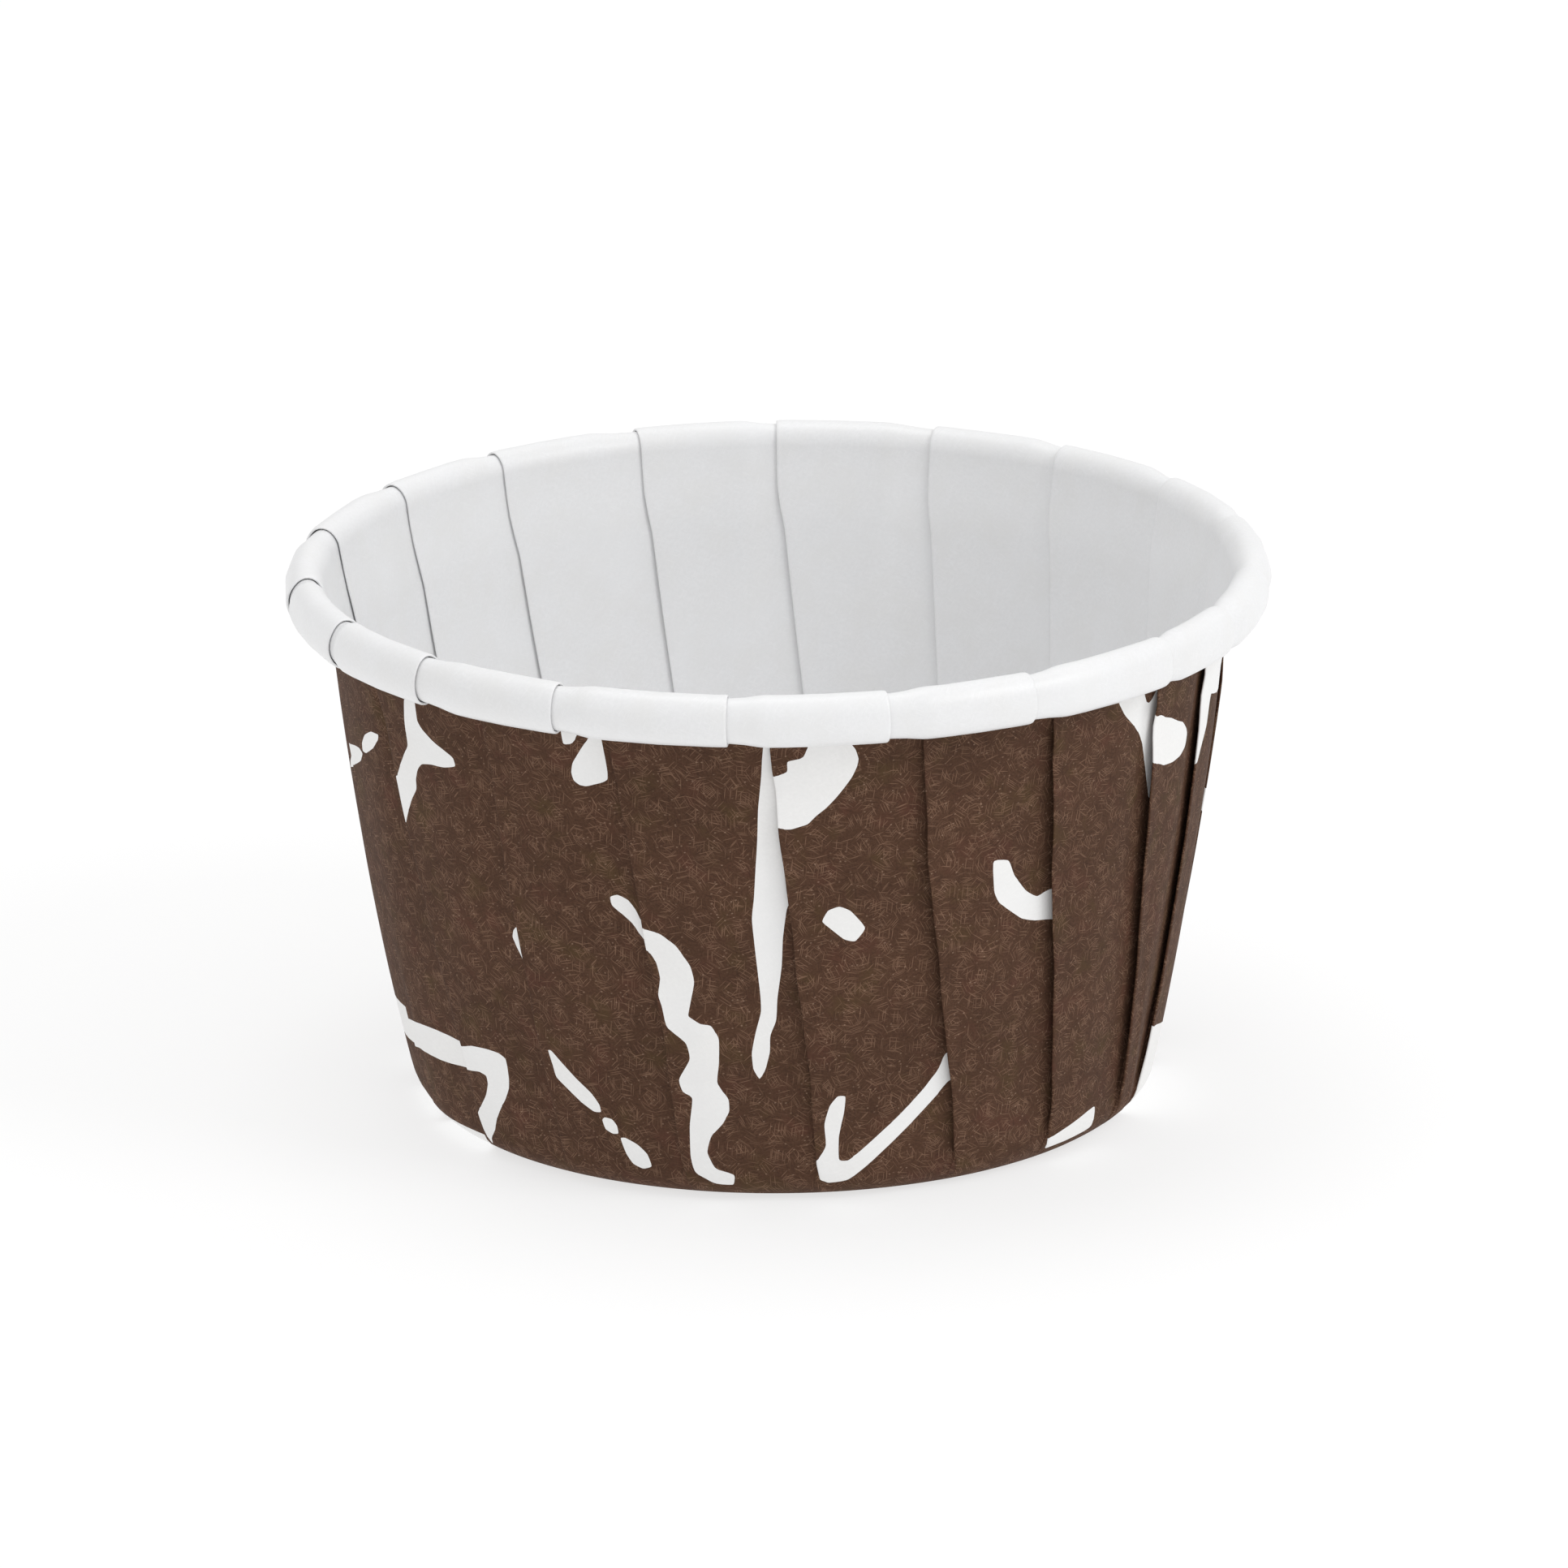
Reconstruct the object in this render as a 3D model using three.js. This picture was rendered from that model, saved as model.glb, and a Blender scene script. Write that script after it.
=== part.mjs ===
// Pleated paper baking cup: one round sheet of paper, brown outside and white
// inside, pressed into a flat base and a flared wall with 19 knife pleats, its
// free edge rolled outwards into a rim. Millimetres, +Z up, origin at the centre
// of the underside. Angles are degrees, counter-clockwise from +X seen from above,
// and the front of the cup is at -90.
import * as THREE from "three";

// ---- driving dimensions ----
const PAPER = 0.16; // thickness of the sheet
const LAYER_GAP = 0.06; // clear air between the layers of a pleat
const FOLD_LIFT = 0.2; // how far an outer fold edge springs up from the wall

const CORNER_CENTRE_R = 22.4; // the flat base ends at this radius
const CORNER_RADIUS = 2.35; // of the middle of the sheet, base to wall
const WALL_LEAN_FOOT = 12.1; // degrees from upright, at the foot of the wall
const WALL_HEIGHT = 29.85; // where the wall starts to flare into the rim
const WALL_RADIUS_TOP = 29.17; // middle of the sheet, at that height
const WALL_LEAN_TOP = 6.3;

const RIM_RADIUS = 31.31; // centre of the roll
const RIM_HEIGHT = 35.02;
const RIM_HALF_WIDTH = 1.13; // of the middle of the sheet
const RIM_HALF_HEIGHT = 1.55;
const ROLL_START = 169; // degrees round the roll, 180 is its inner side
const ROLL_END = -97; // past the lowest point, so the roll stays open

// One row for each pleat: where its outer fold edge is at the top of the wall,
// where both folds meet at the foot, and where its inner fold crosses the rim.
const PLEATS = [
  [-186.3, -179.5, -172.8],
  [-170.0, -162.0, -154.5],
  [-152.4, -143.5, -136.6],
  [-130.4, -125.8, -117.0],
  [-111.9, -105.6, -96.2],
  [-91.4, -85.2, -77.5],
  [-72.1, -63.6, -59.5],
  [-53.8, -46.0, -38.6],
  [-34.4, -27.2, -24.4],
  [-21.9, -18.4, -7.6],
  [0.0, 5.5, 14.0],
  [18.7, 25.4, 31.9],
  [38.4, 45.2, 51.6],
  [56.8, 64.1, 69.8],
  [76.6, 83.4, 90.1],
  [95.0, 102.3, 108.0],
  [114.9, 121.6, 128.2],
  [133.2, 140.4, 146.4],
  [152.5, 160.0, 166.4],
];

// ---- profile of the middle of the sheet, as (radius, height) curves ----
const rad = THREE.MathUtils.degToRad;
const half = PAPER / 2;
const layer = PAPER + LAYER_GAP; // spacing of the three layers of a pleat

const corner = new THREE.EllipseCurve(
  CORNER_CENTRE_R,
  half + CORNER_RADIUS,
  CORNER_RADIUS,
  CORNER_RADIUS,
  rad(-90),
  rad(-WALL_LEAN_FOOT),
);
const foot = corner.getPoint(1);
const wallTop = new THREE.Vector2(WALL_RADIUS_TOP, WALL_HEIGHT);
const lean = (a, l) => new THREE.Vector2(Math.sin(rad(a)), Math.cos(rad(a))).multiplyScalar(l);
const reach = foot.distanceTo(wallTop) / 3;
const wall = new THREE.CubicBezierCurve(
  foot,
  foot.clone().add(lean(WALL_LEAN_FOOT, reach)),
  wallTop.clone().sub(lean(WALL_LEAN_TOP, reach)),
  wallTop,
);
const roll = new THREE.EllipseCurve(
  RIM_RADIUS,
  RIM_HEIGHT,
  RIM_HALF_WIDTH,
  RIM_HALF_HEIGHT,
  rad(ROLL_START),
  rad(ROLL_END),
  true,
);
const rollStart = roll.getPoint(0);
const flareReach = wallTop.distanceTo(rollStart) / 3;
const flare = new THREE.CubicBezierCurve(
  wallTop,
  wallTop.clone().add(lean(WALL_LEAN_TOP, flareReach)),
  rollStart.clone().sub(roll.getTangent(0).multiplyScalar(flareReach)),
  rollStart,
);

// Rows of the sheet from the base edge to its free edge. fold is 0 where the sheet
// is still flat, 1 where a pleat stands on edge and 2 where it is folded over;
// out and inn say how far the two fold lines have run from the foot to the top.
const rows = [];
const addRow = (curve, u, fold, out, inn, lift = 0) => {
  const p = curve.getPoint(u);
  const t = curve.getTangent(u);
  // The printed side is to the right of the way that the profile runs.
  rows.push({ r: p.x, z: p.y, nr: t.y, nz: -t.x, fold, out, inn, lift });
};
addRow(corner, 0, 0, 0, 0);
addRow(corner, 0.5, 0.5, 0, 0);
addRow(corner, 1, 1, 0, 0);
for (const u of [0.09, 0.27, 0.48, 0.7, 0.92]) {
  const run = 0.05 + (0.95 * (u * WALL_HEIGHT)) / 33;
  addRow(wall, u, 2, run, run * 0.97, FOLD_LIFT * Math.min(1, u * 3));
}
addRow(flare, 0.45, 2, 1, 0.97, FOLD_LIFT / 2);
const ROLL_STEPS = 9;
for (let i = 0; i <= ROLL_STEPS; i++) addRow(roll, i / ROLL_STEPS, 2, 1, 1);

// ---- sections of one pleat, [along the wall from a fold in mm, off the sheet's
// middle in mm], for the printed face and the plain face ----
const MARGIN = 0.3; // straight run of a layer past the fold that it covers
const g = layer;
const S = ["printed", "plain"];
const flat = {
  printed: [-0.9, -0.5, -0.18, 0.18, 0.5, 0.9].map((p) => [p, half]),
  plain: [-0.9, -0.5, -0.18, 0.18, 0.5, 0.9].map((p) => [p, -half]),
};
const standing = {
  printed: [
    [-0.6, -g + half],
    [-half, -g + half],
    [-half, -0.07],
    [-half, 0.07],
    [-half, g + half],
    [0.6, g + half],
  ],
  plain: [
    [-0.6, -g - half],
    [half, -g - half],
    [half, -0.07],
    [half, 0.07],
    [half, g - half],
    [0.6, g - half],
  ],
};
// Folded: [fold line, offset from it, off the middle], 0 is the outer fold and 1
// the inner one.
const folded = (lift) => ({
  printed: [
    [0, -MARGIN, -g + half],
    [1, -PAPER, -g + half],
    [1, -PAPER, -half],
    [0, 0, -half],
    [0, 0, g + half + lift],
    [1, MARGIN, g + half],
  ],
  plain: [
    [0, -MARGIN, -g - half],
    [1, 0, -g - half],
    [1, 0, half],
    [0, PAPER, half],
    [0, PAPER, g - half + lift],
    [1, MARGIN, g - half],
  ],
});

// One ring of [angle, off the middle] for each face at one row: six points to a
// pleat and one in the middle of the panel that follows it.
function ring(row, side) {
  const perMm = 180 / Math.PI / row.r;
  const least = 0.62 * perMm; // a pleat is folded over once it overlaps this much
  const lines = PLEATS.map(([top, base, seam]) => {
    let a = base + (top - base) * row.out;
    let b = base + (seam - base) * row.inn;
    if (row.fold === 2 && b - a < least) {
      const mid = (a + b) / 2;
      a = mid - least / 2;
      b = mid + least / 2;
    }
    return [a, b];
  });
  const points = [];
  lines.forEach(([a, b], k) => {
    const mid = (a + b) / 2;
    let pts;
    if (row.fold === 2)
      pts = folded(row.lift)[side].map(([line, dp, off]) => [(line ? b : a) + dp * perMm, off]);
    else
      pts = flat[side].map(([p, off], i) => {
        const [ps, offs] = standing[side][i];
        return [mid + THREE.MathUtils.lerp(p, ps, row.fold) * perMm, THREE.MathUtils.lerp(off, offs, row.fold)];
      });
    points.push(...pts);
    const last = pts[pts.length - 1][0];
    const nextA = lines[(k + 1) % lines.length][0] + (k + 1 === lines.length ? 360 : 0);
    const middle = (last + nextA - MARGIN * perMm) / 2;
    points.push([middle, side === "printed" ? half : -half]);
  });
  return points.map(([a, off]) => {
    const r = row.r + off * row.nr;
    return [r * Math.cos(rad(a)), r * Math.sin(rad(a)), row.z + off * row.nz];
  });
}

function sheetGeometry() {
  const position = [];
  const index = [];
  const first = {};
  for (const side of S) {
    first[side] = rows.map((row) => {
      const start = position.length / 3;
      for (const p of ring(row, side)) position.push(...p);
      return start;
    });
  }
  const N = PLEATS.length * 7;
  const quad = (a, b, c, d) => index.push(a, b, c, a, c, d);
  for (let i = 0; i < N; i++) {
    const j = (i + 1) % N;
    for (let k = 0; k + 1 < rows.length; k++) {
      const p0 = first.printed[k];
      const p1 = first.printed[k + 1];
      quad(p0 + i, p0 + j, p1 + j, p1 + i);
      const w0 = first.plain[k];
      const w1 = first.plain[k + 1];
      quad(w0 + j, w0 + i, w1 + i, w1 + j);
    }
    // the cut edge of the paper, inside the roll
    const pe = first.printed[rows.length - 1];
    const we = first.plain[rows.length - 1];
    quad(pe + i, pe + j, we + j, we + i);
  }
  // the flat base: its underside and its inside
  const under = position.length / 3;
  position.push(0, 0, 0, 0, 0, PAPER);
  for (let i = 0; i < N; i++) {
    const j = (i + 1) % N;
    index.push(under, first.printed[0] + j, first.printed[0] + i);
    index.push(under + 1, first.plain[0] + i, first.plain[0] + j);
  }
  const geometry = new THREE.BufferGeometry();
  geometry.setAttribute("position", new THREE.Float32BufferAttribute(position, 3));
  geometry.setIndex(index);
  geometry.computeVertexNormals();
  return geometry;
}

const paper = new THREE.MeshStandardMaterial({
  color: 0x4a3a2e,
  roughness: 0.82,
  metalness: 0,
});
const cup = new THREE.Mesh(sheetGeometry(), paper);
cup.name = "pleated_paper_cup";

const part = new THREE.Group();
part.add(cup);
export default part;
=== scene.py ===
import math

import bpy
import numpy as np
from mathutils import Matrix, Vector
from mathutils.geometry import delaunay_2d_cdt


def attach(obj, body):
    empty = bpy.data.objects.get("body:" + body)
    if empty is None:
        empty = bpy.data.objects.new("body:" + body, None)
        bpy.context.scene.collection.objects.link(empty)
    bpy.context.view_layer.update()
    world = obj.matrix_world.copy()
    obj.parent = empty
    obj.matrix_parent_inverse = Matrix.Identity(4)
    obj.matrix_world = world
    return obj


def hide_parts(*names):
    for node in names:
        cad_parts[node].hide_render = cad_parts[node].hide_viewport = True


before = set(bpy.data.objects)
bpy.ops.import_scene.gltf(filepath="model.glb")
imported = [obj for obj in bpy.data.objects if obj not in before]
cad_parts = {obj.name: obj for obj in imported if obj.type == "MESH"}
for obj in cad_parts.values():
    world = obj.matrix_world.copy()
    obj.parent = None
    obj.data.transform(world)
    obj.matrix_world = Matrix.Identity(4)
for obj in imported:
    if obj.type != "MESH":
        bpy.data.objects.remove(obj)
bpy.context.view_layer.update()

MM = 0.001
PAPER = 0.06      # the sheet
GAP = 0.13       # spacing of the layers of a pleat on the wall
GAP_ROLL = 0.13  # and in the tight roll of the rim
CORNER_R, CORNER_RAD = 22.4, 2.35
LEAN_FOOT, LEAN_TOP = 12.1, 6.3
WALL_Z, WALL_R = 29.85, 29.17
RIM_R, RIM_Z = 31.27, 35.02
RIM_A, RIM_B = 1.15, 1.60
ROLL_START, ROLL_END = 169.0, -205.0

# outer fold at the wall's top, both folds at the foot, inner fold at the rim,
# how far the fold's edge springs off the wall (foot, top) in mm, and how far
# its line bows at mid height in degrees
PLEATS = [
    (-186.3, -179.5, -172.8, 0.1, 0.2, 0.5),
    (-170, -162, -154.5, 0.08, 0.18, -0.5),
    (-152.4, -143.5, -136.6, 0.05, 0.12, 0.6),
    (-130.4, -125.8, -117, 0.04, 0.09, -0.3),
    (-111.9, -105.6, -96.2, 0.12, 0.24, 0.4),
    (-91.4, -85.2, -77.5, 0.14, 0.24, -0.2),
    (-72.1, -63.6, -59.5, 0.28, 0.42, -1.4),
    (-53.8, -46.2, -38.6, 0.32, 0.48, -1.4),
    (-34.6, -27.7, -24.4, 0.30, 0.44, -1.9),
    (-20.4, -19.9, -7.6, 0.18, 0.32, 0.0),
    (0, 5.5, 14, 0.2, 0.4, 0.5),
    (18.7, 25.4, 31.9, 0.12, 0.3, -0.5),
    (38.4, 45.2, 51.6, 0.15, 0.25, 0.5),
    (56.8, 64.1, 69.8, 0.1, 0.35, -0.5),
    (76.6, 83.4, 90.1, 0.2, 0.3, 0.5),
    (95, 102.3, 108, 0.12, 0.22, -0.5),
    (114.9, 121.6, 128.2, 0.1, 0.3, 0.5),
    (133.2, 140.4, 146.4, 0.15, 0.25, -0.5),
    (152.5, 160, 166.4, 0.1, 0.2, 0.5),
]
NP = len(PLEATS)

# The bare white shapes of the printed pattern: (panel, 1 bare or 0 printed,
# outline as (angle, height in mm)). Panel k starts at the fold of pleat k.
PRINT = [
    (1, 1, [(-156.60, 28.50), (-159.12, 27.89), (-160.77, 27.07), (-160.94, 26.48), (-159.54, 26.52), (-156.57, 27.31), (-154.69, 28.16), (-154.41, 28.59)]),
    (1, 1, [(-169.00, 25.78), (-164.59, 26.31), (-162.37, 26.48), (-161.10, 26.28), (-162.55, 25.54), (-166.80, 24.60), (-175.54, 22.98)]),
    (0, 1, [(-169.00, 25.78), (-164.59, 26.31), (-162.37, 26.48), (-161.10, 26.28), (-162.55, 25.54), (-166.80, 24.60), (-175.54, 22.98)]),
    (2, 1, [(-144.10, 33.03), (-143.39, 33.06), (-142.82, 32.63), (-142.90, 31.89), (-142.98, 31.14), (-142.26, 30.67), (-140.42, 30.11), (-138.15, 29.66), (-136.56, 29.34), (-136.25, 28.75), (-138.52, 28.42), (-141.01, 28.34), (-143.19, 28.11), (-144.29, 27.57), (-144.98, 26.80), (-145.08, 26.10), (-146.67, 25.15), (-148.01, 24.11), (-149.30, 22.90), (-149.76, 23.58), (-150.27, 24.65), (-150.37, 25.71), (-149.17, 26.79), (-147.28, 28.19), (-145.96, 29.00), (-146.10, 30.05), (-145.97, 30.92), (-145.27, 32.31)]),
    (3, 1, [(-114.24, 33.04), (-115.70, 31.98), (-117.11, 30.87), (-117.42, 30.17), (-117.16, 29.62), (-116.40, 29.33), (-115.50, 29.28), (-113.21, 29.65), (-112.63, 29.86), (-112.57, 30.32), (-112.77, 31.44), (-113.02, 33.11)]),
    (3, 1, [(-118.31, 33.60), (-118.19, 32.09), (-116.79, 32.25), (-115.13, 33.82)]),
    (3, 1, [(-111.61, 34.04), (-111.77, 32.62), (-111.46, 32.42), (-109.63, 32.57), (-107.36, 34.25)]),
    (4, 1, [(-91.85, 34.59), (-92.19, 33.02), (-92.43, 31.77), (-92.56, 30.65), (-92.80, 29.51), (-93.05, 28.38), (-93.23, 26.10), (-93.50, 24.38), (-93.81, 22.07), (-94.19, 20.63), (-93.77, 18.02), (-93.25, 15.09), (-93.19, 13.92), (-94.04, 12.44), (-94.68, 10.96), (-94.52, 9.77), (-93.65, 9.00), (-92.82, 9.66), (-92.09, 10.97), (-92.05, 12.15), (-91.12, 13.22), (-90.96, 14.80), (-90.25, 17.14), (-90.09, 19.18), (-89.41, 21.61), (-86.25, 22.60), (-86.18, 34.53)]),
    (5, 1, [(-94.28, 30.81), (-90.85, 30.81), (-89.23, 31.14), (-89.31, 31.88), (-87.71, 32.03), (-87.20, 32.19), (-86.59, 32.97), (-86.18, 34.53), (-81.17, 34.40), (-81.36, 32.95), (-80.75, 32.54), (-80.33, 31.84), (-80.53, 31.29), (-81.13, 30.57), (-82.14, 29.81), (-83.16, 29.16), (-84.38, 28.51), (-85.71, 27.97), (-86.74, 27.42), (-87.77, 27.27), (-88.79, 27.11), (-89.61, 27.12), (-90.22, 27.23), (-94.41, 27.46)]),
    (5, 1, [(-84.98, 20.50), (-84.14, 21.29), (-82.65, 21.54), (-81.15, 21.20), (-78.96, 19.85), (-80.44, 18.92), (-81.96, 19.15), (-83.58, 19.88)]),
    (6, 1, [(-61.66, 23.58), (-59.06, 23.34), (-57.99, 22.09), (-55.71, 20.72), (-53.56, 20.03), (-51.59, 20.39), (-45.40, 20.13), (-44.56, 17.43), (-50.79, 18.17), (-53.61, 18.36), (-56.11, 18.80), (-60.22, 20.40), (-61.09, 21.23)]),
    (3, 1, [(-113.45, 21.58), (-112.39, 21.76), (-110.96, 21.44), (-109.93, 20.74), (-109.25, 19.91), (-104.50, 19.54), (-104.66, 18.08), (-108.23, 18.22), (-109.61, 19.02), (-110.63, 19.83), (-113.31, 20.95)]),
    (4, 1, [(-112.26, 20.32), (-108.82, 19.75), (-106.51, 19.45), (-104.38, 18.67), (-102.54, 17.27), (-102.09, 16.12), (-103.10, 14.03), (-103.27, 13.62), (-101.63, 13.08), (-100.16, 13.00), (-99.12, 12.08), (-99.28, 10.30), (-99.76, 8.80), (-98.13, 7.64), (-98.10, 6.74), (-99.13, 5.82), (-101.02, 4.87), (-101.78, 3.65), (-100.71, 2.46), (-97.69, 2.04), (-98.02, 1.19), (-100.86, 1.25), (-103.86, 2.07), (-104.30, 3.26), (-104.05, 5.68), (-103.29, 7.69), (-104.79, 8.05), (-105.26, 8.93), (-103.29, 10.49), (-103.73, 11.65), (-106.47, 12.73), (-106.85, 14.18), (-107.31, 15.04), (-106.80, 16.24), (-107.22, 17.39), (-108.23, 18.22), (-111.96, 18.60)]),
    (3, 1, [(-125.64, 9.75), (-125.06, 9.75), (-123.61, 9.05), (-121.21, 7.95), (-119.05, 7.05), (-118.06, 6.29), (-117.94, 5.76), (-119.15, 5.73), (-121.03, 6.30), (-122.89, 7.03), (-124.88, 7.81), (-125.15, 8.67)]),
    (3, 1, [(-117.97, 5.22), (-117.50, 5.43), (-116.32, 5.34), (-115.65, 4.90), (-115.54, 4.31), (-116.48, 4.25), (-117.61, 4.53)]),
    (3, 1, [(-115.34, 4.02), (-114.55, 4.07), (-112.70, 3.64), (-111.29, 3.00), (-110.72, 2.07), (-112.21, 1.86), (-113.72, 2.14), (-114.62, 2.80), (-115.09, 3.50)]),
    (5, 1, [(-82.51, 7.85), (-81.35, 7.82), (-81.53, 6.63), (-82.28, 4.85), (-82.20, 3.03), (-80.74, 2.99), (-78.96, 3.65), (-73.07, 5.96), (-69.58, 7.54), (-67.29, 8.87), (-66.48, 10.00), (-62.46, 10.27), (-62.10, 8.47), (-65.74, 7.87), (-67.59, 6.81), (-71.71, 4.98), (-77.65, 2.57), (-80.65, 1.47), (-83.72, 1.32), (-85.57, 1.91), (-85.70, 2.82), (-84.05, 4.17), (-84.45, 5.81), (-83.66, 7.17)]),
    (1, 1, [(-174.34, 7.24), (-174.32, 6.17), (-164.19, 7.14), (-157.53, 7.73), (-152.91, 7.93), (-149.15, 7.93), (-146.70, 7.85), (-144.12, 7.90), (-141.51, 8.29), (-139.57, 8.41), (-137.76, 8.46), (-135.71, 8.40), (-134.53, 8.12), (-134.46, 7.54), (-134.57, 6.64), (-134.94, 5.89), (-136.11, 4.98), (-137.75, 4.02), (-139.02, 3.15), (-139.92, 2.33), (-141.67, 1.52), (-142.83, 0.78), (-146.44, 0.15), (-153.22, -0.17), (-160.53, -0.56), (-173.71, -1.37), (-173.77, 0.11), (-173.89, 1.86), (-174.07, 4.14)]),
    (0, 1, [(-188.00, 6.60), (-180.00, 6.90), (-172.00, 7.15), (-160.00, 7.40), (-160.00, 0.20), (-188.00, 0.20)]),
    (0, 0, [(-190.00, 4.30), (-176.00, 4.50), (-167.80, 4.74), (-158.00, 5.50), (-158.00, 1.00), (-190.00, 0.90)]),
    (2, 1, [(-174.34, 7.24), (-174.32, 6.17), (-164.19, 7.14), (-157.53, 7.73), (-152.91, 7.93), (-149.15, 7.93), (-146.70, 7.85), (-144.12, 7.90), (-141.51, 8.29), (-139.57, 8.41), (-137.76, 8.46), (-135.71, 8.40), (-134.53, 8.12), (-134.46, 7.54), (-134.57, 6.64), (-134.94, 5.89), (-136.11, 4.98), (-137.75, 4.02), (-139.02, 3.15), (-139.92, 2.33), (-141.67, 1.52), (-142.83, 0.78), (-146.44, 0.15), (-153.22, -0.17), (-160.53, -0.56), (-173.71, -1.37), (-173.77, 0.11), (-173.89, 1.86), (-174.07, 4.14)]),
    (2, 0, [(-167.80, 4.74), (-160.49, 5.54), (-156.82, 5.67), (-152.95, 5.70), (-149.77, 5.79), (-146.05, 6.12), (-142.77, 6.31), (-140.69, 6.51), (-139.27, 6.39), (-139.26, 5.80), (-140.18, 4.91), (-141.94, 3.99), (-143.55, 3.19), (-144.29, 2.50), (-146.01, 1.98), (-149.51, 1.28), (-153.05, 1.21), (-156.01, 1.27), (-159.99, 0.93), (-162.83, 1.22), (-165.54, 1.58), (-167.20, 2.79), (-169.86, 3.55)]),
    (7, 1, [(-34.98, 2.98), (-34.58, 1.21), (-40.77, 1.13), (-47.46, 1.04), (-46.62, 1.83), (-41.54, 2.41)]),
    (7, 1, [(-43.74, 33.55), (-42.60, 32.45), (-41.30, 31.55), (-39.09, 30.53), (-36.94, 29.50), (-35.58, 28.63), (-34.95, 27.87), (-34.23, 26.86), (-33.40, 25.66), (-32.46, 24.39), (-30.66, 24.13), (-26.36, 24.91), (-29.51, 32.16), (-39.38, 33.83)]),
    (7, 0, [(-37.62, 32.75), (-37.14, 32.23), (-36.08, 31.64), (-35.12, 31.39), (-34.43, 31.63), (-33.84, 32.22), (-35.01, 33.06), (-37.24, 33.37)]),
    (8, 1, [(-38.76, 31.21), (-33.10, 30.43), (-31.97, 30.09), (-30.17, 29.78), (-27.91, 29.22), (-26.33, 28.92), (-24.72, 28.23), (-24.15, 27.69), (-24.54, 26.90), (-25.94, 26.55), (-28.35, 26.45), (-31.32, 26.66), (-32.46, 26.94), (-37.89, 27.99)]),
    (2, 1, [(-124.84, 18.78), (-129.09, 18.10), (-129.61, 17.81), (-129.91, 17.32), (-129.39, 16.68), (-128.73, 16.04), (-128.43, 15.67), (-124.45, 15.33)]),
    (1, 0, [(-185.00, 4.30), (-167.80, 4.74), (-160.50, 5.54), (-156.80, 5.67), (-153.00, 5.70), (-149.80, 5.79), (-140.00, 6.30), (-135.00, 6.30), (-135.00, 1.60), (-145.00, 1.30), (-152.00, 1.20), (-165.00, 1.00), (-185.00, 0.90)]),
    (9, 1, [(-26.00, 34.40), (-26.00, 25.20), (-21.00, 24.90), (-19.40, 25.30), (-18.00, 26.20), (-16.60, 27.10), (-16.00, 28.60), (-15.40, 29.20), (-13.50, 28.90), (-10.40, 28.50), (-7.50, 28.30), (-4.10, 28.60), (4.00, 30.20), (4.00, 34.40)]),
    (9, 1, [(-9.00, 23.70), (-5.50, 24.60), (5.00, 24.80), (5.00, 21.20), (-3.50, 20.60), (-7.00, 21.60)]),
    (9, 1, [(-26.00, 7.00), (-18.10, 6.35), (-12.00, 5.60), (-5.80, 4.66), (8.00, 3.50), (8.00, -0.50), (-26.00, -0.50)]),
]
# The pattern repeats round the back: a panel there and the one that it repeats.
REPEAT = [(10, 4), (11, 5), (12, 3), (13, 7), (14, 4), (15, 8), (16, 5), (17, 3), (18, 7)]

rad = math.radians


def smooth(x, a, b):
    t = np.clip((np.asarray(x, float) - a) / (b - a), 0, 1)
    return t * t * (3 - 2 * t)


# ---- profile rows of the middle of the sheet ----
def bezier(p0, p1, p2, p3, u):
    p0, p1, p2, p3 = (np.array(p, float) for p in (p0, p1, p2, p3))
    v = 1 - u
    p = v**3 * p0 + 3 * v * v * u * p1 + 3 * v * u * u * p2 + u**3 * p3
    t = 3 * (v * v * (p1 - p0) + 2 * v * u * (p2 - p1) + u * u * (p3 - p2))
    return p, t / np.linalg.norm(t)


Z0 = PAPER / 2 + 0.02
rows = []  # (r, z, tangent r, tangent z, zone)
for r in (5.0, 10.0, 14.5, 18.0, 20.6, 21.6):
    rows.append((r, Z0, 1.0, 0.0, "base"))
for i in range(7):
    a = rad(-90 + (90 - LEAN_FOOT) * i / 6)
    rows.append((CORNER_R + CORNER_RAD * math.cos(a), Z0 + CORNER_RAD + CORNER_RAD * math.sin(a), -math.sin(a), math.cos(a), "corner"))
foot = np.array(rows[-1][:2])
top = np.array([WALL_R, WALL_Z])
d0 = np.array([math.sin(rad(LEAN_FOOT)), math.cos(rad(LEAN_FOOT))])
d1 = np.array([math.sin(rad(LEAN_TOP)), math.cos(rad(LEAN_TOP))])
L = np.linalg.norm(top - foot) / 3
NW = 34
for i in range(1, NW + 1):
    p, t = bezier(foot, foot + d0 * L, top - d1 * L, top, i / NW)
    rows.append((p[0], p[1], t[0], t[1], "wall"))


def roll_point(a):
    k = smooth(-a, 40, 175)
    ra = RIM_A * (1 - k) + 0.62 * k
    rb = RIM_B * (1 - k) + 0.78 * k
    cr = RIM_R + 0.10 * k
    cz = RIM_Z - 0.35 * k
    return np.array([cr + ra * math.cos(rad(a)), cz + rb * math.sin(rad(a))])


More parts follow.
